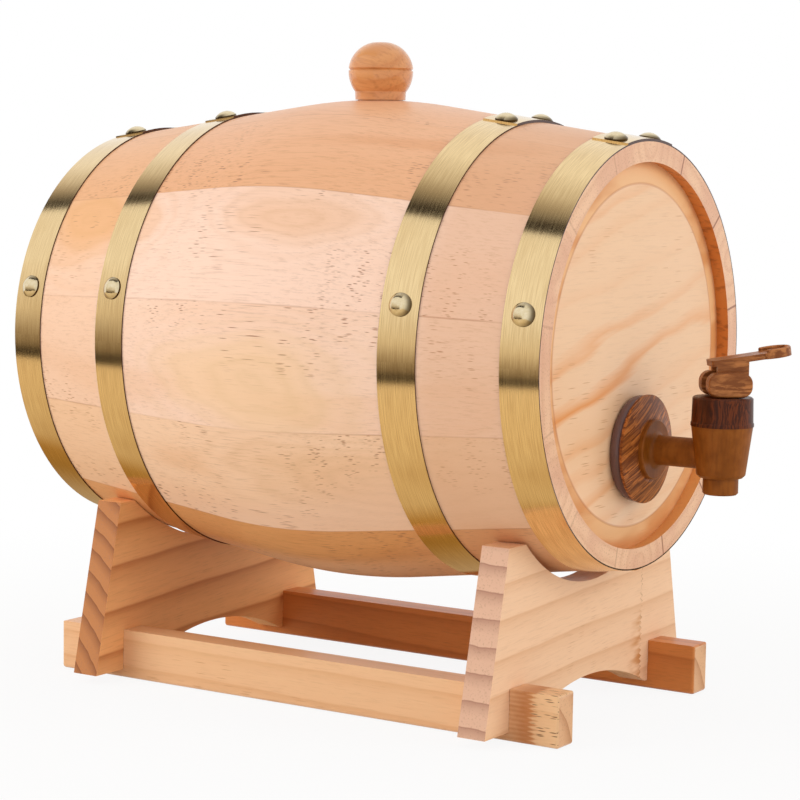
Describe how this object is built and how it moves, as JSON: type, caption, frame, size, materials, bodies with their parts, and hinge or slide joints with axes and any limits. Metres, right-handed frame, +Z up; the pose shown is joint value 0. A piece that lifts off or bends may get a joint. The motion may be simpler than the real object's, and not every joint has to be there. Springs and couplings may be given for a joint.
{
  "type": "cask liquor dispenser",
  "caption": "Small coopered cask lying on a two-board cradle with rails, with hoops, a top bung and a push-down tap in one head.",
  "frame": {"origin": "middle of the whole object's outline, on the table plane under the rails", "axes": "+Y along the cask axis from the tap end to the rear, +Z up, the tap points to -Y"},
  "size_m": [0.18, 0.2784, 0.2425],
  "materials": {
    "stand_pine": "clear satin varnish",
    "cask_pine": "clear satin varnish",
    "hoop_brass": "brushed, antique",
    "rivet_brass": "polished",
    "bung_wood": "gloss varnish",
    "tap_plastic": "satin",
    "printed_plastic": "satin with a wood-grain print",
    "seal_silicone": "translucent"
  },
  "bodies": {
    "stand": {"cradle_front": "stand_pine", "cradle_rear": "stand_pine", "rail_left": "stand_pine", "rail_right": "stand_pine"},
    "cask": {"bung_stave": "cask_pine", "stave_01": "cask_pine", "stave_02": "cask_pine", "stave_03": "cask_pine", "stave_04": "cask_pine", "stave_05": "cask_pine", "stave_06": "cask_pine", "stave_07": "cask_pine", "stave_08": "cask_pine", "stave_09": "cask_pine", "stave_10": "cask_pine", "stave_11": "cask_pine", "front_head": "cask_pine", "rear_head": "cask_pine", "front_chime_hoop": "hoop_brass", "front_quarter_hoop": "hoop_brass", "rear_quarter_hoop": "hoop_brass", "rear_chime_hoop": "hoop_brass", "front_chime_rivets": "rivet_brass", "front_quarter_rivets": "rivet_brass", "rear_quarter_rivets": "rivet_brass", "rear_chime_rivets": "rivet_brass", "tap_body": "tap_plastic", "tap_escutcheon": "printed_plastic", "tap_outer_washer": "seal_silicone", "tap_inner_washer": "seal_silicone", "tap_lock_nut": "tap_plastic", "tap_collar": "printed_plastic", "tap_seat_cup": "seal_silicone"},
    "bung_body": {"bung": "bung_wood"},
    "stem": {"tap_stem": "tap_plastic"},
    "lever": {"tap_lever": "printed_plastic"}
  },
  "joints": [
    {"name": "cask_lift", "type": "slide", "parent": "stand", "child": "cask", "axis": [0, 0, 1], "range_m": [0, 0.1]},
    {"name": "bung_lift", "type": "slide", "parent": "cask", "child": "bung_body", "axis": [0, 0, 1], "range_m": [0, 0.06]},
    {"name": "stem_lift", "type": "slide", "parent": "cask", "child": "stem", "axis": [0, 0, 1], "range_m": [0, 0.0025], "deforming": ["tap_seat_cup"]},
    {"name": "lever_press", "type": "hinge", "parent": "stem", "child": "lever", "pos_m": [0, -0.11956, 0.12318], "axis": [0.7547, 0.6561, 0], "range_deg": [0, 30], "stiffness_Nm_per_rad": 0.03, "springref_deg": -8.59}
  ],
  "couplings": [
    {"joint": "lever_press", "follows": "stem_lift", "rad_per_m": 209.4}
  ]
}
